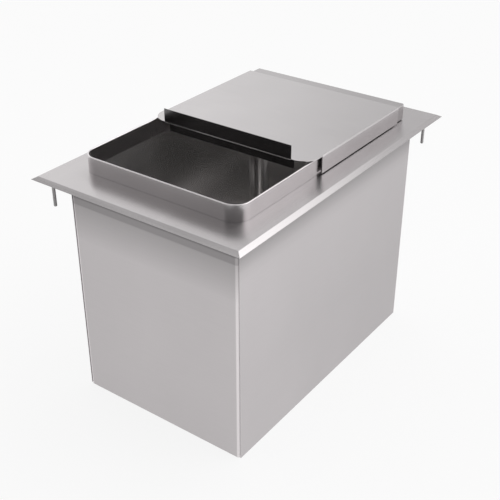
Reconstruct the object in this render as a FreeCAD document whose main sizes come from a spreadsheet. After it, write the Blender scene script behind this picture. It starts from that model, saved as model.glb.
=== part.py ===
import FreeCAD, Part
import os
import re
import Sketcher

# Drop-in ice bin: a bevelled deck with a raised collar, an insulated liner in a sheet housing,
# a rear lid that rests on the collar and a sliding lid that runs over it.
# Millimetres. X is across the bin, Y from front to back, Z up from the underside of the housing.

SIZES = [
    ("collar_width", 272.0),
    ("collar_length", 423.0),
    ("collar_height", 25.0),
    ("collar_wall", 2.4),
    ("collar_corner", 23.5),
    ("collar_seam", 0.2),
    ("rim_land", 0.1),
    ("deck_sheet", 1.2),
    ("bevel_run", 7.4),
    ("bevel_drop", 4.0),
    ("side_overhang", 31.5),
    ("end_overhang", 40.25),
    ("liner_depth", 318.5),
    ("liner_sheet", 1.0),
    ("liner_brim", 8.0),
    ("cove_radius", 14.0),
    ("floor_pan_rise", 30.0),
    ("side_insulation", 10.9),
    ("end_insulation", 16.15),
    ("floor_insulation", 47.0),
    ("board_corner_gap", 2.0),
    ("panel_sheet", 1.0),
    ("corner_bend", 5.0),
    ("side_panel_setback", 1.4),
    ("return_depth", 16.0),
    ("pan_flange", 12.0),
    ("drain_bore", 30.0),
    ("drain_wall", 4.0),
    ("drain_brim", 14.0),
    ("drain_brim_sheet", 1.6),
    ("drain_fit", 0.4),
    ("sump_margin", 7.0),
    ("sump_depth", 3.5),
    ("well_gap", 7.0),
    ("washer_rim", 10.0),
    ("washer_height", 3.0),
    ("nut_wall", 11.0),
    ("nut_height", 9.0),
    ("bush_wall", 4.0),
    ("bush_brim", 5.0),
    ("bush_height", 6.0),
    ("strainer_fit", 1.0),
    ("strainer_sheet", 1.2),
    ("strainer_hole", 3.5),
    ("strainer_inner_ring", 6.0),
    ("strainer_outer_ring", 11.5),
    ("strainer_inner_count", 6.0),
    ("strainer_outer_count", 12.0),
    ("stud_diameter", 5.0),
    ("stud_length", 46.5),
    ("stud_inset", 20.4),
    ("stud_point", 1.0),
    ("stud_weld_rim", 1.5),
    ("stud_weld_height", 1.2),
    ("lid_sheet", 1.0),
    ("lid_bend", 2.4),
    ("lid_fit", 0.6),
    ("rear_lid_front", 52.5),
    ("rear_corner", 17.0),
    ("rear_skirt_setback", 14.0),
    ("rear_skirt_gap", 1.5),
    ("lip_side_gap", 23.6),
    ("lip_drop", 14.9),
    ("glide_thickness", 1.1),
    ("glide_width", 12.0),
    ("glide_inset", 19.4),
    ("glide_margin", 14.0),
    ("sliding_fit", 1.8),
    ("sliding_lead", 9.5),
    ("rear_reveal", 24.1),
    ("sliding_corner", 28.0),
    ("sliding_skirt_setback", 6.3),
    ("sliding_skirt_gap", 1.6),
    ("tab_end_gap", 0.8),
    ("tab_height", 20.3),
]

# Sizes that follow from the ones above.
DERIVED = [
    ("floor_under", "panel_sheet + floor_insulation"),
    ("floor_top", "floor_under + liner_sheet"),
    ("deck_top", "floor_top + liner_depth"),
    ("deck_under", "deck_top - deck_sheet"),
    ("flange_low", "deck_top - bevel_drop"),
    ("mouth_width", "collar_width - 2 * collar_wall"),
    ("mouth_length", "collar_length - 2 * collar_wall"),
    ("mouth_corner", "collar_corner - collar_wall"),
    ("rim_top", "deck_top + collar_height"),
    ("rim_round", "collar_wall / 2 - rim_land"),
    ("liner_width", "mouth_width + 2 * liner_sheet"),
    ("liner_length", "mouth_length + 2 * liner_sheet"),
    ("liner_corner", "mouth_corner + liner_sheet"),
    ("brim_width", "mouth_width + 2 * liner_brim"),
    ("brim_length", "mouth_length + 2 * liner_brim"),
    ("brim_corner", "mouth_corner + liner_brim"),
    ("brim_under", "deck_under - liner_sheet"),
    ("wall_bottom", "floor_under + floor_pan_rise"),
    ("inside_width", "liner_width + 2 * side_insulation"),
    ("inside_length", "liner_length + 2 * end_insulation"),
    ("housing_width", "inside_width + 2 * panel_sheet"),
    ("housing_length", "inside_length + 2 * panel_sheet"),
    ("flange_width", "housing_width + 2 * side_overhang"),
    ("flange_length", "housing_length + 2 * end_overhang"),
    ("pan_width", "inside_width - 2 * panel_sheet"),
    ("side_panel_length", "housing_length - 2 * side_panel_setback"),
    ("drain_tube", "drain_bore + 2 * drain_wall"),
    ("drain_hole", "drain_tube + drain_fit"),
    ("drain_flange", "drain_tube + 2 * drain_brim"),
    ("sump_diameter", "drain_flange + 2 * sump_margin"),
    ("sump_outside", "sump_diameter + 2 * liner_sheet"),
    ("sump_top", "floor_top - sump_depth"),
    ("washer_under", "sump_top - liner_sheet - washer_height"),
    ("nut_under", "washer_under - nut_height"),
    ("strainer_under", "sump_top + drain_brim_sheet"),
    ("bush_neck", "drain_tube + 2 * bush_wall"),
    ("rear_lid_width", "collar_width + 2 * (lid_fit + lid_sheet)"),
    ("rear_lid_back", "collar_length / 2 + lid_fit + lid_sheet"),
    ("rear_lid_length", "rear_lid_front + rear_lid_back"),
    ("rear_lid_top", "rim_top + lid_sheet"),
    ("rear_skirt", "collar_height - rear_skirt_gap"),
    ("rear_skirt_start", "rear_corner + rear_skirt_setback"),
    ("lip_width", "mouth_width - 2 * lip_side_gap"),
    ("glide_spacing", "rear_lid_width - 2 * glide_inset"),
    ("sliding_under", "rear_lid_top + glide_thickness"),
    ("sliding_width", "rear_lid_width + 2 * (sliding_fit + lid_sheet)"),
    ("sliding_front", "rear_lid_front + sliding_lead"),
    ("sliding_length", "sliding_front + rear_lid_back - rear_reveal"),
    ("sliding_skirt", "sliding_under - deck_top - sliding_skirt_gap"),
    ("sliding_skirt_start", "sliding_corner + sliding_skirt_setback"),
    ("tab_width", "sliding_width - 2 * (sliding_corner + tab_end_gap)"),
]

doc = FreeCAD.newDocument("IceBin")
sheet = doc.addObject("Spreadsheet::Sheet", "Sizes")
for row, (name, value) in enumerate(SIZES, start=1):
    sheet.set("A%d" % row, name)
    sheet.set("B%d" % row, str(value))
    sheet.setAlias("B%d" % row, name)
for row, (name, formula) in enumerate(DERIVED, start=len(SIZES) + 1):
    sheet.set("A%d" % row, name)
    sheet.set("B%d" % row, "=" + formula)
    sheet.setAlias("B%d" % row, name)
doc.recompute()

nodes = []


def size(name):
    """The value of one cell of the sheet, for first drawings that the expressions then drive."""
    return float(sheet.get(name))


def linked(text):
    """An expression on the sheet: each word that names a cell is pointed at it."""
    cells = set(name for name, _ in SIZES + DERIVED)
    return re.sub(r"[a-z_]+", lambda word: "Sizes." * (word.group() in cells) + word.group(), text)


def place(piece, x="0", y="0", z="0"):
    for axis, text in zip("xyz", (x, y, z)):
        piece.setExpression("Placement.Base." + axis, linked(text))


def keep(piece, label):
    """Name a finished piece and list it for writing."""
    piece.Label = label
    nodes.append(piece)
    return piece


def new_body(label, x="0", y="0", z="0"):
    body = doc.addObject("PartDesign::Body", label)
    place(body, x, y, z)
    return keep(body, label)


def new_sketch(body, name, lift="0", role="XY_Plane"):
    sketch = body.newObject("Sketcher::SketchObject", name)
    origin_plane = next(item for item in body.Origin.OriginFeatures if item.Role == role)
    sketch.AttachmentSupport = [(origin_plane, "")]
    sketch.MapMode = "FlatFace"
    sketch.setExpression("AttachmentOffset.Base.z", linked(lift))
    return sketch


def drive(sketch, kind, where, value, name, text):
    """Add one dimension to a sketch and hand it to the sheet."""
    index = sketch.addConstraint(Sketcher.Constraint(kind, *where, value))
    sketch.renameConstraint(index, name)
    sketch.setExpression("Constraints." + name, linked(text))


def four_lines(sketch, corners):
    lines = []
    for start, end in zip(corners, corners[1:] + corners[:1]):
        line = Part.LineSegment(FreeCAD.Vector(*start, 0), FreeCAD.Vector(*end, 0))
        lines.append(sketch.addGeometry(line, False))
    for first, second in zip(lines, lines[1:] + lines[:1]):
        sketch.addConstraint(Sketcher.Constraint("Coincident", first, 2, second, 1))
    sketch.addConstraint(Sketcher.Constraint("Horizontal", lines[2]))
    for line in (lines[1], lines[3]):
        sketch.addConstraint(Sketcher.Constraint("Vertical", line))
    return lines


def centred_rectangle(sketch, tag, width, length):
    lines = four_lines(sketch, [(-50, -50), (50, -50), (50, 50), (-50, 50)])
    sketch.addConstraint(Sketcher.Constraint("Horizontal", lines[0]))
    sketch.addConstraint(Sketcher.Constraint("Symmetric", lines[0], 1, lines[2], 1, -1, 1))
    drive(sketch, "DistanceX", (lines[0], 1, lines[0], 2), 100, tag + "_width", width)
    drive(sketch, "DistanceY", (lines[1], 1, lines[1], 2), 100, tag + "_length", length)


def front_rectangle(sketch, tag, width, length, start=None):
    """A rectangle centred across the piece, from its front edge or a stated way behind it."""
    lines = four_lines(sketch, [(-50, 20), (50, 20), (50, 120), (-50, 120)])
    sketch.addConstraint(Sketcher.Constraint("Symmetric", lines[0], 1, lines[0], 2, -2))
    drive(sketch, "DistanceX", (lines[0], 1, lines[0], 2), 100, tag + "_width", width)
    if start is None:
        sketch.addConstraint(Sketcher.Constraint("PointOnObject", lines[0], 1, -1))
    else:
        drive(sketch, "DistanceY", (-1, 1, lines[0], 1), 20, tag + "_start", start)
    drive(sketch, "DistanceY", (lines[1], 1, lines[1], 2), 100, tag + "_length", length)


def rounded_loop(sketch, tag, width, length, corner):
    """A centred rectangle with four equal round corners."""
    half, flat = 50.0, 40.0
    turns = [(flat, -flat, -90), (flat, flat, 0), (-flat, flat, 90), (-flat, -flat, 180)]
    runs = [((-flat, -half), (flat, -half)), ((half, -flat), (half, flat)),
            ((flat, half), (-flat, half)), ((-half, flat), (-half, -flat))]
    lines = []
    arcs = []
    for (start, end), (x, y, angle) in zip(runs, turns):
        line = Part.LineSegment(FreeCAD.Vector(*start, 0), FreeCAD.Vector(*end, 0))
        lines.append(sketch.addGeometry(line, False))
        circle = Part.Circle(FreeCAD.Vector(x, y, 0), FreeCAD.Vector(0, 0, 1), half - flat)
        sweep = [FreeCAD.Units.Quantity("%d deg" % a).getValueAs("rad").Value for a in (angle, angle + 90)]
        arcs.append(sketch.addGeometry(Part.ArcOfCircle(circle, *sweep), False))
    for line, arc, following in zip(lines, arcs, lines[1:] + lines[:1]):
        sketch.addConstraint(Sketcher.Constraint("Tangent", line, 2, arc, 1))
        sketch.addConstraint(Sketcher.Constraint("Tangent", arc, 2, following, 1))
    for line in (lines[0], lines[2]):
        sketch.addConstraint(Sketcher.Constraint("Horizontal", line))
    for line in (lines[1], lines[3]):
        sketch.addConstraint(Sketcher.Constraint("Vertical", line))
    for first, second in zip(arcs, arcs[1:]):
        sketch.addConstraint(Sketcher.Constraint("Equal", first, second))
    sketch.addConstraint(Sketcher.Constraint("Symmetric", lines[0], 1, lines[2], 1, -1, 1))
    drive(sketch, "Radius", (arcs[0],), half - flat, tag + "_corner", corner)
    drive(sketch, "DistanceX", (lines[3], 1, lines[1], 1), 2 * half, tag + "_width", width)
    drive(sketch, "DistanceY", (lines[0], 1, lines[2], 1), 2 * half, tag + "_length", length)


def circle_at(sketch, tag, diameter, reach=None):
    """A circle on the centre, or on the Y axis at a stated reach."""
    start = FreeCAD.Vector(0, 0 if reach is None else 10, 0)
    circle = sketch.addGeometry(Part.Circle(start, FreeCAD.Vector(0, 0, 1), 3), False)
    if reach is None:
        sketch.addConstraint(Sketcher.Constraint("Coincident", circle, 3, -1, 1))
    else:
        sketch.addConstraint(Sketcher.Constraint("PointOnObject", circle, 3, -2))
        drive(sketch, "DistanceY", (-1, 1, circle, 3), 10, tag + "_reach", reach)
    drive(sketch, "Diameter", (circle,), 6, tag + "_diameter", diameter)


def pad(body, sketch, name, height):
    feature = body.newObject("PartDesign::Pad", name)
    feature.Profile = sketch
    feature.setExpression("Length", linked(height))
    doc.recompute()
    return feature


def pocket_up(body, sketch, name, depth):
    """Cut from the sketch upwards."""
    feature = body.newObject("PartDesign::Pocket", name)
    feature.Profile = sketch
    feature.Reversed = True
    feature.setExpression("Length", linked(depth))
    doc.recompute()
    return feature


def edges_where(feature, test):
    return ["Edge%d" % count for count, edge in enumerate(feature.Shape.Edges, start=1) if test(edge)]


def faces_where(feature, test):
    return ["Face%d" % count for count, face in enumerate(feature.Shape.Faces, start=1) if test(face)]


def is_upright(edge):
    box = edge.BoundBox
    return box.ZLength > 0.01 and box.XLength < 0.01 and box.YLength < 0.01


def is_level(shape, height):
    return abs(shape.BoundBox.ZMin - height) < 0.01 and abs(shape.BoundBox.ZMax - height) < 0.01


def fillet(body, base, name, edges, radius):
    feature = body.newObject("PartDesign::Fillet", name)
    feature.Base = (base, edges)
    feature.setExpression("Radius", linked(radius))
    doc.recompute()
    return feature


def hollow(body, base, name, open_faces, wall):
    """Leave a sheet of even thickness inside the outer faces, open at the named faces."""
    feature = body.newObject("PartDesign::Thickness", name)
    feature.Base = (base, open_faces)
    feature.Reversed = True
    feature.Join = "Intersection"
    feature.setExpression("Value", linked(wall))
    doc.recompute()
    return feature


def cylinder(name, diameter, height, z="0"):
    piece = doc.addObject("Part::Cylinder", name)
    piece.setExpression("Radius", linked("(" + diameter + ") / 2"))
    piece.setExpression("Height", linked(height))
    place(piece, z=z)
    return piece


def cut(name, base, tool):
    piece = doc.addObject("Part::Cut", name)
    piece.Base = base
    piece.Tool = tool
    return piece


def ring(name, outer, inner, height, z):
    outside = cylinder(name + "_outside", outer, height, z)
    inside = cylinder(name + "_inside", inner, height, z)
    return cut(name, outside, inside)


def fused(name, *pieces):
    piece = doc.addObject("Part::MultiFuse", name)
    piece.Shapes = list(pieces)
    piece.Refine = True
    return piece


def box(name, width, length, height, x, y, z):
    piece = doc.addObject("Part::Box", name)
    for edge, text in (("Length", width), ("Width", length), ("Height", height)):
        piece.setExpression(edge, linked(text))
    place(piece, x, y, z)
    return piece


# Deck: one sheet with four turned-down bevelled edges and the opening for the collar.
deck = new_body("deck", z="flange_low")
outline = new_sketch(deck, "deck_outline")
centred_rectangle(outline, "deck", "flange_width", "flange_length")
deck_block = pad(deck, outline, "deck_block", "bevel_drop")
deck_block.setExpression("TaperAngle", linked("-1 * atan(bevel_run / bevel_drop)"))
doc.recompute()
hollow(deck, deck_block, "deck_shell", faces_where(deck_block, lambda f: is_level(f, 0)), "deck_sheet")
opening = new_sketch(deck, "deck_opening")
rounded_loop(opening, "opening", "collar_width + 2 * collar_seam", "collar_length + 2 * collar_seam",
             "collar_corner + collar_seam")
pocket_up(deck, opening, "deck_mouth", "bevel_drop")

# Collar: a hemmed upstand that stands on the liner's brim and rises through the deck.
collar = new_body("collar", z="deck_under")
upstand = new_sketch(collar, "collar_upstand")
rounded_loop(upstand, "outside", "collar_width", "collar_length", "collar_corner")
rounded_loop(upstand, "mouth", "mouth_width", "mouth_length", "mouth_corner")
collar_ring = pad(collar, upstand, "collar_ring", "rim_top - deck_under")
rim_level = size("rim_top") - size("deck_under")
rim_edges = edges_where(collar_ring, lambda e: is_level(e, rim_level))
fillet(collar, collar_ring, "collar_rim", rim_edges, "rim_round")

# Liner: a wrapped wall with a brim under the collar and deck, and a coved floor pan with a drain sump.
liner_wall = new_body("liner_wall", z="wall_bottom")
wall = new_sketch(liner_wall, "wall_outline")
rounded_loop(wall, "outside", "liner_width", "liner_length", "liner_corner")
rounded_loop(wall, "mouth", "mouth_width", "mouth_length", "mouth_corner")
pad(liner_wall, wall, "wall_tube", "deck_under - wall_bottom")
brim = new_sketch(liner_wall, "brim_outline", lift="brim_under - wall_bottom")
rounded_loop(brim, "outside", "brim_width", "brim_length", "brim_corner")
rounded_loop(brim, "mouth", "mouth_width", "mouth_length", "mouth_corner")
pad(liner_wall, brim, "wall_brim", "liner_sheet")

liner_floor = new_body("liner_floor", z="floor_under")
floor = new_sketch(liner_floor, "floor_outline")
rounded_loop(floor, "outside", "liner_width", "liner_length", "liner_corner")
floor_block = pad(liner_floor, floor, "floor_block", "floor_pan_rise")
floor_cove = fillet(liner_floor, floor_block, "floor_cove", edges_where(floor_block, lambda e: is_level(e, 0)),
                    "cove_radius + liner_sheet")
hollow(liner_floor, floor_cove, "floor_shell",
       faces_where(floor_cove, lambda f: is_level(f, size("floor_pan_rise"))), "liner_sheet")
sump_mouth = new_sketch(liner_floor, "sump_mouth")
circle_at(sump_mouth, "sump", "sump_diameter")
pocket_up(liner_floor, sump_mouth, "sump_opening", "liner_sheet")
sump_side = new_sketch(liner_floor, "sump_side", lift="-1 * sump_depth")
circle_at(sump_side, "outside", "sump_outside")
circle_at(sump_side, "inside", "sump_diameter")
pad(liner_floor, sump_side, "sump_wall", "sump_depth + liner_sheet")
sump_base = new_sketch(liner_floor, "sump_base", lift="-1 * sump_depth")
circle_at(sump_base, "outside", "sump_outside")
circle_at(sump_base, "hole", "drain_hole")
pad(liner_floor, sump_base, "sump_bottom", "liner_sheet")

# Housing: front and back panels with rounded bends and returns, flat side panels, and a bottom pan.
END_PANELS = [("front_panel", 0), ("back_panel", 180)]
for label, turn in END_PANELS:
    panel = new_body(label)
    panel.Placement.Rotation = FreeCAD.Rotation(FreeCAD.Vector(0, 0, 1), turn)
    place(panel, y="housing_length / 2" if turn else "-1 * housing_length / 2")
    outline = new_sketch(panel, label + "_outline")
    front_rectangle(outline, "panel", "inside_width", "return_depth")
    block = pad(panel, outline, label + "_block", "deck_under")
    bends = edges_where(block, lambda e: is_upright(e) and e.BoundBox.YMax < 0.01)
    bent = fillet(panel, block, label + "_bends", bends, "corner_bend")
    ends = faces_where(bent, lambda f: is_level(f, 0) or is_level(f, size("deck_under"))
                       or f.BoundBox.YMin > size("return_depth") - 0.01)
    hollow(panel, bent, label + "_sheet", ends, "panel_sheet")

for label, side in (("left_panel", "-1 * housing_width / 2"), ("right_panel", "inside_width / 2")):
    side_panel = box(label, "panel_sheet", "side_panel_length", "deck_under", side,
                     "-1 * side_panel_length / 2", "0")
    keep(side_panel, label)

bottom_pan = new_body("bottom_pan")
pan = new_sketch(bottom_pan, "pan_outline")
centred_rectangle(pan, "pan", "pan_width", "inside_length")
pan_block = pad(bottom_pan, pan, "pan_block", "pan_flange")
pan_bends = fillet(bottom_pan, pan_block, "pan_bends", edges_where(pan_block, is_upright), "corner_bend")
hollow(bottom_pan, pan_bends, "pan_shell", faces_where(pan_bends, lambda f: is_level(f, size("pan_flange"))),
       "panel_sheet")
pan_hole = new_sketch(bottom_pan, "pan_hole")
circle_at(pan_hole, "pan_hole", "bush_neck")
pocket_up(bottom_pan, pan_hole, "pan_opening", "pan_flange")

# Insulation boards between the liner and the housing.
insulation_floor = new_body("insulation_floor", z="panel_sheet")
board = new_sketch(insulation_floor, "board_outline")
rounded_loop(board, "board", "pan_width - 2 * panel_sheet", "inside_length - 2 * panel_sheet", "corner_bend")
circle_at(board, "well", "sump_outside + 2 * well_gap")
pad(insulation_floor, board, "board", "floor_insulation")

board_height = "brim_under - floor_under"
for label, start in (("insulation_left", "-1 * inside_width / 2"), ("insulation_right", "liner_width / 2")):
    keep(box(label, "side_insulation", "liner_length - 2 * board_corner_gap", board_height, start,
             "-1 * liner_length / 2 + board_corner_gap", "floor_under"), label)
for label, start in (("insulation_front", "-1 * inside_length / 2"), ("insulation_back", "liner_length / 2")):
    keep(box(label, "pan_width - 2 * corner_bend", "end_insulation", board_height,
             "-1 * pan_width / 2 + corner_bend", start, "floor_under"), label)

# Drain: a flanged tube through the sump, sealed and clamped below it, with a lift-out strainer on top.
drain_outside = fused("drain_outside", cylinder("drain_tube_body", "drain_tube", "strainer_under"),
                      cylinder("drain_flange_body", "drain_flange", "drain_brim_sheet", "sump_top"))
drain_passage = cylinder("drain_passage", "drain_bore", "strainer_under")
keep(cut("drain_tube_cut", drain_outside, drain_passage), "drain_tube")
keep(ring("drain_washer_ring", "drain_tube + 2 * washer_rim", "drain_hole", "washer_height", "washer_under"),
     "drain_washer")
nut_blank = doc.addObject("Part::Prism", "nut_blank")
nut_blank.Polygon = 6
nut_blank.setExpression("Circumradius", linked("drain_tube / 2 + nut_wall"))
nut_blank.setExpression("Height", linked("nut_height"))
place(nut_blank, z="nut_under")
nut_hole = cylinder("nut_hole", "drain_hole", "nut_height", "nut_under")
keep(cut("drain_nut_cut", nut_blank, nut_hole), "drain_locknut")
bush_outside = fused("bush_outside", cylinder("bush_neck_body", "bush_neck", "bush_height"),
                     cylinder("bush_brim_body", "bush_neck + 2 * bush_brim", "bush_height - panel_sheet",
                              "panel_sheet"))
keep(cut("drain_bush_cut", bush_outside, cylinder("bush_bore", "drain_hole", "bush_height")), "drain_bush")

strainer = new_body("drain_strainer", z="strainer_under")
disc = new_sketch(strainer, "strainer_disc")
circle_at(disc, "disc", "sump_diameter - 2 * strainer_fit")
circle_at(disc, "centre_hole", "strainer_hole")
pad(strainer, disc, "strainer_plate", "strainer_sheet")
for tag in ("inner", "outer"):
    hole = new_sketch(strainer, "strainer_%s_hole" % tag)
    circle_at(hole, tag, "strainer_hole", "strainer_%s_ring" % tag)
    drilled = pocket_up(strainer, hole, "strainer_%s_cut" % tag, "strainer_sheet")
    holes = strainer.newObject("PartDesign::PolarPattern", "strainer_%s_holes" % tag)
    holes.Originals = [drilled]
    holes.Axis = (hole, ["N_Axis"])
    holes.Angle = 360
    strainer.Tip = holes
    holes.setExpression("Occurrences", linked("strainer_%s_count" % tag))
    doc.recompute()

# Mounting studs: two, on the diagonal, hanging from the underside of the deck.
studs = []
for tag, sign in (("front_left", "-1"), ("back_right", "1")):
    shank = cylinder("stud_shank_" + tag, "stud_diameter", "stud_length - stud_point")
    weld = cylinder("stud_weld_" + tag, "stud_diameter + 2 * stud_weld_rim", "stud_weld_height")
    point = doc.addObject("Part::Cone", "stud_point_" + tag)
    point.setExpression("Radius1", linked("stud_diameter / 2"))
    point.setExpression("Radius2", linked("stud_diameter / 2 - stud_point"))
    point.setExpression("Height", linked("stud_point"))
    place(point, z="stud_length - stud_point")
    stud = fused("stud_" + tag, shank, weld, point)
    stud.Placement.Rotation = FreeCAD.Rotation(FreeCAD.Vector(1, 0, 0), 180)
    place(stud, sign + " * (flange_width / 2 - stud_inset)", sign + " * (flange_length / 2 - stud_inset)",
          "deck_under")
    studs.append(stud)
mounting_studs = doc.addObject("Part::Compound", "mounting_studs")
mounting_studs.Links = studs
keep(mounting_studs, "mounting_studs")


def folded_lid(body, tag, width, length, corner, skirt_start, skirt, open_back):
    """A sheet bent down into skirts, behind a flat stretch with round front corners."""

    def at_back(shape):
        return shape.BoundBox.YMin > size(length) - 0.01

    def is_bend(edge):
        at_top = is_level(edge, size(skirt) + size("lid_sheet"))
        along_side = at_top and edge.BoundBox.XLength < 0.01
        across_back = at_back(edge) and (at_top or is_upright(edge))
        return along_side or (across_back and not open_back)

    def is_open(face):
        at_front = face.BoundBox.YMax < size(skirt_start) + 0.01
        return is_level(face, 0) or at_front or (at_back(face) and open_back)

    fold = new_sketch(body, tag + "_fold_outline")
    front_rectangle(fold, "fold", width, length + " - " + skirt_start, skirt_start)
    block = pad(body, fold, tag + "_fold_block", skirt + " + lid_sheet")
    bent = fillet(body, block, tag + "_bends", edges_where(block, is_bend), "lid_bend")
    hollow(body, bent, tag + "_skirts", faces_where(bent, is_open), "lid_sheet")
    flat = new_sketch(body, tag + "_flat_outline", lift=skirt)
    front_rectangle(flat, "flat", width, skirt_start)
    plate = pad(body, flat, tag + "_flat", "lid_sheet")
    front = edges_where(plate, lambda e: is_upright(e) and e.BoundBox.YMax < 0.01)
    fillet(body, plate, tag + "_corners", front, corner)


# Rear lid: rests on the collar's rim, with skirts round the sides and back and a lip inside the mouth.
rear_lid = new_body("rear_lid", y="-1 * rear_lid_front", z="rim_top - rear_skirt")
folded_lid(rear_lid, "rear", "rear_lid_width", "rear_lid_length", "rear_corner", "rear_skirt_start",
           "rear_skirt", open_back=False)
rear_lip = new_sketch(rear_lid, "rear_lip_outline", lift="rear_skirt - lip_drop")
front_rectangle(rear_lip, "lip", "lip_width", "lid_sheet")
pad(rear_lid, rear_lip, "rear_lip", "lip_drop")

# Sliding lid: runs over the rear lid on two glides, with side skirts and an upturned front tab.
sliding_lid = new_body("sliding_lid", y="-1 * sliding_front", z="deck_top + sliding_skirt_gap")
folded_lid(sliding_lid, "sliding", "sliding_width", "sliding_length", "sliding_corner", "sliding_skirt_start",
           "sliding_skirt", open_back=True)
tab = new_sketch(sliding_lid, "tab_outline", lift="sliding_skirt")
front_rectangle(tab, "tab", "tab_width", "lid_sheet")
pad(sliding_lid, tab, "sliding_tab", "lid_sheet + tab_height")

glides = []
for tag, centre in (("left", "-1 * glide_spacing / 2"), ("right", "glide_spacing / 2")):
    glides.append(box("glide_" + tag, "glide_width", "sliding_length - 2 * glide_margin", "glide_thickness",
                      centre + " - glide_width / 2", "glide_margin - sliding_front", "rear_lid_top"))
lid_glides = doc.addObject("Part::Compound", "lid_glides")
lid_glides.Links = glides
keep(lid_glides, "lid_glides")

doc.recompute()
for item in doc.Objects:
    if "Invalid" in item.State or "Error" in item.State:
        raise RuntimeError("%s is not built: %s" % (item.Label, item.State))
os.makedirs("parts", exist_ok=True)
for piece in nodes:
    if piece.Shape.isNull() or not piece.Shape.isValid():
        raise RuntimeError("%s has no valid shape" % piece.Label)
    piece.Shape.exportStep("parts/%s.step" % piece.Label)
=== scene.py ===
import math

import bpy
from mathutils import Matrix, Vector


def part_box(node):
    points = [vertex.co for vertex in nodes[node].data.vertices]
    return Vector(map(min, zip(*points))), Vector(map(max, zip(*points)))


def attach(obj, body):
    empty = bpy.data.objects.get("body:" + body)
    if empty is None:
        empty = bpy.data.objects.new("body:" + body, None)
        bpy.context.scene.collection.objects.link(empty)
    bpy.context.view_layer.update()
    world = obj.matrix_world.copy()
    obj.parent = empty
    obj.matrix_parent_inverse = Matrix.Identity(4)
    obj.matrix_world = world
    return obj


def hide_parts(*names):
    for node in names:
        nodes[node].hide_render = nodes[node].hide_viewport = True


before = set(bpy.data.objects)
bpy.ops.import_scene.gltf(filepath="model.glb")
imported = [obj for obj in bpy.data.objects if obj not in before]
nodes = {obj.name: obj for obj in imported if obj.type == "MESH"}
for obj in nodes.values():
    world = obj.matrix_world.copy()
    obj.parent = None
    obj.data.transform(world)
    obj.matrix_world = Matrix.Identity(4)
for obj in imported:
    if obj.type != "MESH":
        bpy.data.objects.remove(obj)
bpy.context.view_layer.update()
scene = bpy.context.scene

# A noise keeps mostly between these two values.
NOISE_LOW = 0.3
NOISE_HIGH = 0.7


class Nodes:
    """A short way to add nodes to one node tree."""

    def __init__(self, tree):
        self.tree = tree

    def put(self, socket, value):
        """Link a socket to another one, or set its own value."""
        if isinstance(value, bpy.types.NodeSocket):
            self.tree.links.new(value, socket)
        else:
            socket.default_value = value

    def node(self, kind, inputs=(), **settings):
        made = self.tree.nodes.new(kind)
        for key, value in settings.items():
            setattr(made, key, value)
        for key, value in dict(inputs).items():
            self.put(made.inputs[key], value)
        return made

    def maths(self, operation, first, second=0.0):
        return self.node("ShaderNodeMath", {0: first, 1: second}, operation=operation).outputs[0]

    def times(self, first, second):
        return self.maths("MULTIPLY", first, second)

    def spread(self, value, low, high, start=NOISE_LOW, end=NOISE_HIGH, **settings):
        """Map a noise, a place or a direction from one range onto another."""
        inputs = {"Value": value, "From Min": start, "From Max": end, "To Min": low, "To Max": high}
        return self.node("ShaderNodeMapRange", inputs, **settings).outputs["Result"]


class Shader(Nodes):
    """One procedural material around its Principled BSDF."""

    def __init__(self, name):
        self.material = bpy.data.materials.new(name)
        self.material.use_nodes = True
        super().__init__(self.material.node_tree)
        self.bsdf = self.tree.nodes["Principled BSDF"]
        self.coords = self.node("ShaderNodeTexCoord").outputs["Object"]

    def place(self):
        """The object's own X, Y and Z."""
        return self.node("ShaderNodeSeparateXYZ", {"Vector": self.coords}).outputs

    def noise(self, scale, detail, roughness=0.5, offset=(0, 0, 0)):
        """A noise over the object's own coordinates, with a scale for each axis."""
        mapping = {"Vector": self.coords, "Scale": scale, "Location": offset}
        stretched = self.node("ShaderNodeMapping", mapping).outputs["Vector"]
        inputs = {"Vector": stretched, "Scale": 1.0, "Detail": detail, "Roughness": roughness}
        return self.node("ShaderNodeTexNoise", inputs).outputs["Fac"]

    def mixed(self, first, share, second):
        """Two noises added, the first by its share and the second by the rest."""
        return self.maths("ADD", self.times(first, share), self.times(second, 1 - share))

    def tones(self, value, dark, light):
        """Blend two colours by a value from 0 to 1."""
        ramp = self.node("ShaderNodeValToRGB", {"Fac": value})
        ramp.color_ramp.elements[0].color = (*dark, 1)
        ramp.color_ramp.elements[1].color = (*light, 1)
        return ramp.outputs["Color"]

    def tinted(self, level, tone):
        """A colour times a level of up to about 1.6."""
        reach = 0.6
        brightest = [channel / reach for channel in tone]
        return self.tones(self.times(level, reach), (0, 0, 0), brightest)

    def feed(self, **sockets):
        """Link or set the shader's own sockets."""
        for key, value in sockets.items():
            self.put(self.bsdf.inputs[key.replace("_", " ")], value)

    def bump(self, height, strength, distance):
        inputs = {"Height": height, "Strength": strength, "Distance": distance}
        self.feed(Normal=self.node("ShaderNodeBump", inputs).outputs["Normal"])


# Grain of the steel: noise scale along X, Y and Z, small along the strokes of the brush.
LENGTHWISE = (1600, 14, 1600)
CROSSWISE = (14, 1600, 1600)
ROUND_ABOUT = (14, 14, 1600)
UNBRUSHED = (500, 500, 500)
FINE_DETAIL = 4.0
FINE_ROUGHNESS = 0.65
SOFT_DETAIL = 2.0
GRAIN_HEIGHT = 0.0004

# Brushed sheet: its wider bands and clouds, and the spread of its level and roughness.
BAND_SCALE = 0.38
BRUSHED_CLOUD = (9, 9, 9)
FINE_SHARE = 0.65
SCRATCH_SHARE = 0.6
BRUSHED_LEVELS = (0.93, 1.06)
BRUSHED_ROUGHNESS = (0.94, 1.07)

# Painted shade on a lid's front face and painted highlight along the collar's rim: depth of the skin, depth
# of its blend, and level.
FACE_DEPTH = 0.0002
FACE_BLEND = 0.0002
FACE_SHADE = 0.24
RIM_DEPTH = 0.0007
RIM_BLEND = 0.0004
RIM_HIGHLIGHT = 1.3


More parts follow.
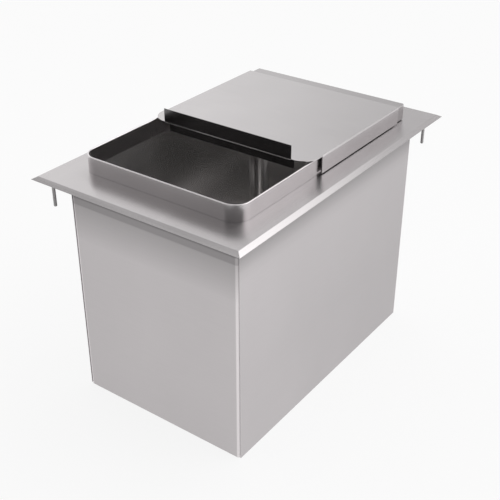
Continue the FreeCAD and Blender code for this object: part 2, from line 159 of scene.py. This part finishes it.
def brushed_steel(name, tone, rough, grain, shift=(0, 0, 0), depth=0.05, metal=1.0, drawn=0.0,
                  shade_front=None, highlight_top=None):
    """Stainless sheet with a brushed grain: fine scratches, wider bands and faint cloudiness.
    It can carry painted shade from a place forward, and a painted highlight from a height up."""
    steel = Shader(name)
    fine = steel.noise(grain, FINE_DETAIL, FINE_ROUGHNESS, shift)
    bands = steel.noise([scale * BAND_SCALE for scale in grain], SOFT_DETAIL, offset=shift)
    cloud = steel.noise(BRUSHED_CLOUD, SOFT_DETAIL, offset=shift)
    scratch = steel.mixed(fine, FINE_SHARE, bands)
    surface = steel.mixed(scratch, SCRATCH_SHARE, cloud)
    level = steel.spread(surface, *BRUSHED_LEVELS)
    # Painted shade on the front face, from a place forward.
    if shade_front is not None:
        front_shade = steel.spread(steel.place()["Y"], FACE_SHADE, 1.0, shade_front, shade_front + FACE_BLEND)
        level = steel.times(level, front_shade)
    # Painted highlight along the rim, from a height up.
    if highlight_top is not None:
        rim_highlight = steel.spread(steel.place()["Z"], 1.0, RIM_HIGHLIGHT, highlight_top, highlight_top + RIM_BLEND)
        level = steel.times(level, rim_highlight)
    low, high = BRUSHED_ROUGHNESS
    steel.feed(Metallic=metal, Base_Color=steel.tinted(level, tone),
               Roughness=steel.spread(surface, rough * low, rough * high))
    steel.bump(scratch, depth, GRAIN_HEIGHT)
    if drawn:
        tangent = steel.node("ShaderNodeTangent", direction_type="RADIAL", axis="Y").outputs["Tangent"]
        steel.feed(Anisotropic=drawn, Tangent=tangent)
    return steel.material


# Housing sheet: its clouds, the spread of its level and roughness, and its bump.
HOUSING_CLOUD = (7, 7, 4)
HOUSING_FINE_SHARE = 0.5
HOUSING_LEVELS = (0.95, 1.05)
HOUSING_ROUGH = 0.42
HOUSING_ROUGHNESS = (0.92, 1.1)
HOUSING_METAL = 0.9
HOUSING_BUMP = 0.03

# Painted shade under the deck, and painted light up the sides, by height: level above a band, and the foot
# and head of the band below the panels' top edge.
END_SHADES = [(0.67, 0.1033, 0.0443), (0.775, 0.0468, 0.0448), (0.62, 0.0366, 0.0338)]
SIDE_SHADES = [(1.07, 0.2363, 0.0863), (0.85, 0.0723, 0.0353), (0.79, 0.0583, 0.0353)]

# Painted light and shade across a panel, darker at the end panels' left, lighter to the front of the side
# panels and darker to the back: level at the start and at the end, and where it starts and ends.
END_FADE_X = (0.955, 1.0, -0.147, -0.02)
SIDE_FADE_Y = (1.04, 0.92, -0.2, 0.2)

# Painted highlight along the bends of the end panels: width from the panel's edge, width of the blend, and
# level.
BEND_WIDTH = 0.0055
BEND_BLEND = 0.0015
BEND_LEVEL = 1.42


def housing_steel(name, tone, shift, shades, bends=False):
    """Satin housing sheet with painted shade under the deck's overhang. An end panel has a painted
    highlight along its bends.
    A side panel first gets painted light upwards, and painted shade towards the back."""
    panel_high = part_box("front_panel")[1]
    steel = Shader(name)
    fine = steel.noise(ROUND_ABOUT, FINE_DETAIL, FINE_ROUGHNESS, shift)
    cloud = steel.noise(HOUSING_CLOUD, SOFT_DETAIL, offset=shift)
    surface = steel.mixed(fine, HOUSING_FINE_SHARE, cloud)
    place = steel.place()
    level = steel.spread(surface, *HOUSING_LEVELS)
    # Painted shade under the deck and painted light up the sides, band by band.
    for shade, foot, head in shades:
        height_shade = steel.spread(place["Z"], 1.0, shade, panel_high.z - foot, panel_high.z - head)
        level = steel.times(level, height_shade)
    # End panels: painted shade towards the left and a painted highlight along the bends.
    if bends:
        start = panel_high.x - BEND_WIDTH
        reach = steel.maths("ABSOLUTE", place["X"])
        level = steel.times(level, steel.spread(place["X"], *END_FADE_X))
        level = steel.times(level, steel.spread(reach, 1.0, BEND_LEVEL, start, start + BEND_BLEND))
    else:
        # Side panels: painted light to the front and painted shade to the back.
        level = steel.times(level, steel.spread(place["Y"], *SIDE_FADE_Y))
    low, high = HOUSING_ROUGHNESS
    steel.feed(Metallic=HOUSING_METAL, Base_Color=steel.tinted(level, tone),
               Roughness=steel.spread(surface, HOUSING_ROUGH * low, HOUSING_ROUGH * high))
    steel.bump(fine, HOUSING_BUMP, GRAIN_HEIGHT)
    return steel.material


def rubber(name):
    """Matt black rubber with fine specks."""
    dark = (0.015, 0.015, 0.016)
    light = (0.035, 0.034, 0.033)
    seal = Shader(name)
    speck = seal.noise((900, 900, 900), detail=3.0)
    seal.feed(Base_Color=seal.tones(seal.spread(speck, 0, 1), dark, light),
              Roughness=seal.spread(speck, 0.6, 0.8))
    seal.bump(speck, strength=0.15, distance=0.0004)
    return seal.material


def nylon(name):
    """Cream plastic with faint flow lines along the strip."""
    dark = (0.62, 0.61, 0.57)
    light = (0.70, 0.69, 0.66)
    slip = Shader(name)
    flow = slip.noise((300, 25, 300), detail=3.0)
    slip.feed(Base_Color=slip.tones(slip.spread(flow, 0, 1), dark, light),
              Roughness=slip.spread(flow, 0.38, 0.52))
    slip.bump(flow, strength=0.08, distance=0.0003)
    return slip.material


def foam(name):
    """Yellowish foam board with cells."""
    dark = (0.42, 0.33, 0.17)
    light = (0.62, 0.53, 0.32)
    board = Shader(name)
    cell = board.node("ShaderNodeTexVoronoi", {"Vector": board.coords, "Scale": 420.0}).outputs["Distance"]
    board.feed(Base_Color=board.tones(cell, dark, light), Roughness=0.9)
    board.bump(cell, strength=0.4, distance=0.001)
    return board.material


def front_face(lid):
    """Where the painted shade on a lid's front face ends."""
    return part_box(lid)[0].y + FACE_DEPTH


# Finishes, by name.
LID_TONE = (0.635, 0.61, 0.615)
LID_ROUGH = 0.22
LID_GRAIN_DEPTH = 0.03

FINISHES = {
    "deck_steel": brushed_steel("deck_steel", (0.615, 0.59, 0.595), 0.26, LENGTHWISE,
                                depth=0.002, drawn=0.8),
    "lid_steel": brushed_steel("lid_steel", LID_TONE, LID_ROUGH, CROSSWISE, (3, 1, 2), LID_GRAIN_DEPTH,
                               shade_front=front_face("sliding_lid")),
    "fold_steel": brushed_steel("fold_steel", LID_TONE, LID_ROUGH, CROSSWISE, (2, 6, 1), LID_GRAIN_DEPTH),
    # Rear lid: a darker copy of the lid steel, painted shade.
    "rear_lid_steel": brushed_steel("rear_lid_steel", (0.545, 0.523, 0.528), LID_ROUGH, CROSSWISE,
                                    (5, 4, 2), LID_GRAIN_DEPTH, shade_front=front_face("rear_lid")),
    "collar_steel": brushed_steel("collar_steel", (0.645, 0.62, 0.625), 0.25, ROUND_ABOUT, (1, 5, 2),
                                  highlight_top=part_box("collar")[1].z - RIM_DEPTH),
    # Liner: a lighter tone than the other steel, painted light in the well.
    "liner_steel": brushed_steel("liner_steel", (0.92, 0.905, 0.90), 0.16, ROUND_ABOUT, (4, 3, 1),
                                 depth=0.02, metal=0.87),
    "fitting_steel": brushed_steel("fitting_steel", (0.46, 0.45, 0.45), 0.30, UNBRUSHED, (6, 2, 3)),
    "housing_steel": housing_steel("housing_steel", (0.566, 0.540, 0.547), (2, 2, 6), SIDE_SHADES),
    "bent_panel_steel": housing_steel("bent_panel_steel", (0.585, 0.558, 0.564), (7, 1, 3), END_SHADES,
                                      bends=True),
    "seal_rubber": rubber("seal_rubber"),
    "glide_plastic": nylon("glide_plastic"),
    "foam": foam("foam"),
}
FINISHED_NODES = {
    "deck_steel": ["deck"],
    "lid_steel": ["sliding_lid"],
    "rear_lid_steel": ["rear_lid"],
    "collar_steel": ["collar"],
    "liner_steel": ["liner_wall", "liner_floor"],
    "fitting_steel": ["drain_tube", "drain_locknut", "drain_strainer", "mounting_studs"],
    "housing_steel": ["left_panel", "right_panel", "bottom_pan"],
    "bent_panel_steel": ["front_panel", "back_panel"],
    "seal_rubber": ["drain_washer", "drain_bush"],
    "glide_plastic": ["lid_glides"],
    "foam": ["insulation_front", "insulation_back", "insulation_left", "insulation_right",
             "insulation_floor"],
}
for finish, names in FINISHED_NODES.items():
    for name in names:
        materials = nodes[name].data.materials
        materials.clear()
        materials.append(FINISHES[finish])


def mesh_piece(name, points, faces, material):
    """An object from points and faces. Its four-sided faces are shaded smooth."""
    mesh = bpy.data.meshes.new(name)
    mesh.from_pydata(points, [], faces)
    mesh.polygons.foreach_set("use_smooth", [len(face) == 4 for face in faces])
    mesh.update()
    mesh.materials.append(material)
    piece = bpy.data.objects.new(name, mesh)
    scene.collection.objects.link(piece)
    return piece


def joined(rings):
    """The points of all rings in one list."""
    return [point for ring in rings for point in ring]


def skin(rings, start=0):
    """Faces over a run of closed rings of points, with a cap at each end."""
    count = len(rings[0])
    faces = [[start + corner for corner in range(count)]]
    for row in range(len(rings) - 1):
        for corner in range(count):
            here = start + row * count + corner
            after = start + row * count + (corner + 1) % count
            faces.append([here, here + count, after + count, after])
    last = start + (len(rings) - 1) * count
    faces.append([last + corner for corner in reversed(range(count))])
    return faces


# Mounting studs: a weld flare under the deck, a plain neck, a rolled thread and a chamfered end.
STUD_RADIUS = 0.0025
WELD_RADIUS = 0.0040
WELD_HEIGHT = 0.0012
STUD_NECK = 0.0035
STUD_POINT = 0.0010
THREAD_PITCH = 0.0008
THREAD_DEPTH = 0.0004
STUD_SIDES = 20
ROWS_PER_PITCH = 5


def stud_radius(depth, length, turn):
    flare = max(0.0, 1 - depth / WELD_HEIGHT)
    threaded = min(1.0, max(0.0, (depth - STUD_NECK) / THREAD_PITCH))
    groove = 0.5 - 0.5 * math.cos(math.tau * (depth / THREAD_PITCH + turn))
    chamfer = max(0.0, depth - length + STUD_POINT)
    swell = (WELD_RADIUS - STUD_RADIUS) * flare ** 2
    return STUD_RADIUS + swell - THREAD_DEPTH * groove * threaded - chamfer


def threaded_stud(x, y, top, low):
    length = top - low
    rows = round(length / THREAD_PITCH * ROWS_PER_PITCH)
    rings = []
    for row in range(rows + 1):
        depth = length * row / rows
        ring = []
        for side in range(STUD_SIDES):
            turn = side / STUD_SIDES
            angle = math.tau * turn
            radius = stud_radius(depth, length, turn)
            ring.append((x + radius * math.cos(angle), y + radius * math.sin(angle), top - depth))
        rings.append(ring)
    return rings


stud_low, stud_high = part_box("mounting_studs")
stud_points = []
stud_faces = []
for corner, inward in ((stud_low, WELD_RADIUS), (stud_high, -WELD_RADIUS)):
    rings = threaded_stud(corner.x + inward, corner.y + inward, stud_high.z, stud_low.z)
    stud_faces += skin(rings, len(stud_points))
    stud_points += joined(rings)
studs = mesh_piece("threaded_studs", stud_points, stud_faces, FINISHES["fitting_steel"])
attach(studs, "bin")
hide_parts("mounting_studs")

# Tab fold: the outside of the bend at the foot of the sliding lid's tab.
TAB_END_INSET = 0.0288
TAB_HEIGHT = 0.0203
FOLD_RADIUS = 0.0005
FOLD_DROP = 0.0008
FOLD_SIDES = 12

lid_low, lid_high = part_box("sliding_lid")
fold_height = lid_high.z - TAB_HEIGHT - FOLD_DROP
fold_rings = []
for x in (lid_low.x + TAB_END_INSET, lid_high.x - TAB_END_INSET):
    ring = []
    for side in range(FOLD_SIDES):
        angle = math.tau * side / FOLD_SIDES
        forward = FOLD_RADIUS * math.cos(angle)
        upward = FOLD_RADIUS * math.sin(angle)
        ring.append((x, lid_low.y + forward, fold_height + upward))
    fold_rings.append(ring)
fold = mesh_piece("tab_fold", joined(fold_rings), skin(fold_rings), FINISHES["fold_steel"])
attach(fold, "sliding_lid")

# Studio floor: a wide disc just under the bin, coved up into a low backdrop far away.
FLOOR_DROP = 0.0002
FLOOR_REACH = 30.0
COVE_RADIUS = 4.5
COVE_STEPS = 8
FLOOR_SIDES = 96
FLOOR_GREY = (0.15, 0.15, 0.15, 1)
FLOOR_GLOW = 0.86
WHITE = (1, 1, 1, 1)


def floor_material():
    """Grey to the light, and pale to the camera and in reflections."""
    floor = Shader("studio_floor")
    path = floor.node("ShaderNodeLightPath").outputs
    seen = floor.maths("MAXIMUM", path["Is Camera Ray"], path["Is Glossy Ray"])
    seen = floor.maths("MAXIMUM", seen, path["Is Transmission Ray"])
    glow = floor.node("ShaderNodeEmission", {"Color": WHITE, "Strength": floor.times(seen, FLOOR_GLOW)})
    matt = floor.node("ShaderNodeBsdfDiffuse", {"Color": FLOOR_GREY})
    both = floor.node("ShaderNodeAddShader", {0: glow.outputs[0], 1: matt.outputs[0]})
    floor.put(floor.tree.nodes["Material Output"].inputs["Surface"], both.outputs[0])
    return floor.material


floor_points = []
floor_faces = [list(range(FLOOR_SIDES))]
for step in range(COVE_STEPS + 1):
    rise = math.pi / 2 * step / COVE_STEPS
    out = FLOOR_REACH + COVE_RADIUS * math.sin(rise)
    height = COVE_RADIUS * (1 - math.cos(rise)) - FLOOR_DROP
    for side in range(FLOOR_SIDES):
        angle = math.tau * side / FLOOR_SIDES
        floor_points.append((out * math.cos(angle), out * math.sin(angle), height))
for step in range(COVE_STEPS):
    for side in range(FLOOR_SIDES):
        here = step * FLOOR_SIDES + side
        after = step * FLOOR_SIDES + (side + 1) % FLOOR_SIDES
        floor_faces.append([here, after, after + FLOOR_SIDES, here + FLOOR_SIDES])
floor = mesh_piece("studio_floor", floor_points, floor_faces, floor_material())


def bearing(turn, rise):
    """The direction at a turn from +X and a rise above level, both in degrees."""
    turn = math.radians(turn)
    rise = math.radians(rise)
    return (math.cos(rise) * math.cos(turn), math.cos(rise) * math.sin(turn), math.sin(rise))


# Studio surround: soft boxes at the left, at the right and high behind, dim in front and at the upper left.
SOFT_BOXES = [
    # turn, rise, cosine where it starts, cosine where it is full, level
    (160, 15, 0.68, 0.93, 0.40),
    (79, 50, 0.961, 0.9945, 1.44),
    (28, 31, 0.82, 0.93, 0.80),
    (300, 10, 0.20, 0.62, -0.42),
    (186, 42, 0.95, 0.985, -0.28),
]
AMBIENT = 0.62

scene.world = bpy.data.worlds.new("studio")
scene.world.use_nodes = True
surround = Nodes(scene.world.node_tree)
direction = surround.node("ShaderNodeTexCoord").outputs["Generated"]
total = AMBIENT
for turn, rise, start, full, strength in SOFT_BOXES:
    ends = {0: direction, 1: bearing(turn, rise)}
    facing = surround.node("ShaderNodeVectorMath", ends, operation="DOT_PRODUCT").outputs["Value"]
    level = surround.spread(facing, 0.0, strength, start, full, interpolation_type="SMOOTHSTEP")
    total = surround.maths("ADD", level, total)
background = surround.tree.nodes["Background"].inputs
surround.put(background["Strength"], total)
surround.put(background["Color"], WHITE)

# Overhead lamp: a wide, weak panel above the bin.
LAMP_PLACE = Vector((0.2, 0.3, 2.4))
LAMP_TARGET = Vector((0, 0, 0.3))
LAMP_SIZE = 1.8
LAMP_WATTS = 5

light = bpy.data.lights.new("overhead", "AREA")
light.size = LAMP_SIZE
light.energy = LAMP_WATTS
lamp = bpy.data.objects.new("overhead", light)
lamp.location = LAMP_PLACE
lamp.rotation_euler = (LAMP_TARGET - LAMP_PLACE).to_track_quat("-Z", "Y").to_euler()
scene.collection.objects.link(lamp)

# Camera: fitted to the edges of the photograph.
PHOTO_PIXELS = 500
FOCAL_PIXELS = 920.816
SENSOR_WIDTH = 36.0
CAMERA_TURN = 36.0245
CAMERA_RISE = 30.6541
EYE_RIGHT = -0.00139
EYE_UP = 0.15917
EYE_BACK = 1.5412

right = Vector(bearing(CAMERA_TURN, 0))
back = Vector(bearing(CAMERA_TURN - 90, CAMERA_RISE))
up = back.cross(right)
lens = bpy.data.cameras.new("camera")
lens.sensor_width = SENSOR_WIDTH
lens.lens = FOCAL_PIXELS * SENSOR_WIDTH / PHOTO_PIXELS
camera = bpy.data.objects.new("camera", lens)
camera.matrix_world = Matrix((right, up, back)).transposed().to_4x4()
camera.location = right * EYE_RIGHT + up * EYE_UP + back * EYE_BACK
scene.collection.objects.link(camera)
scene.camera = camera
scene.view_settings.view_transform = "Standard"
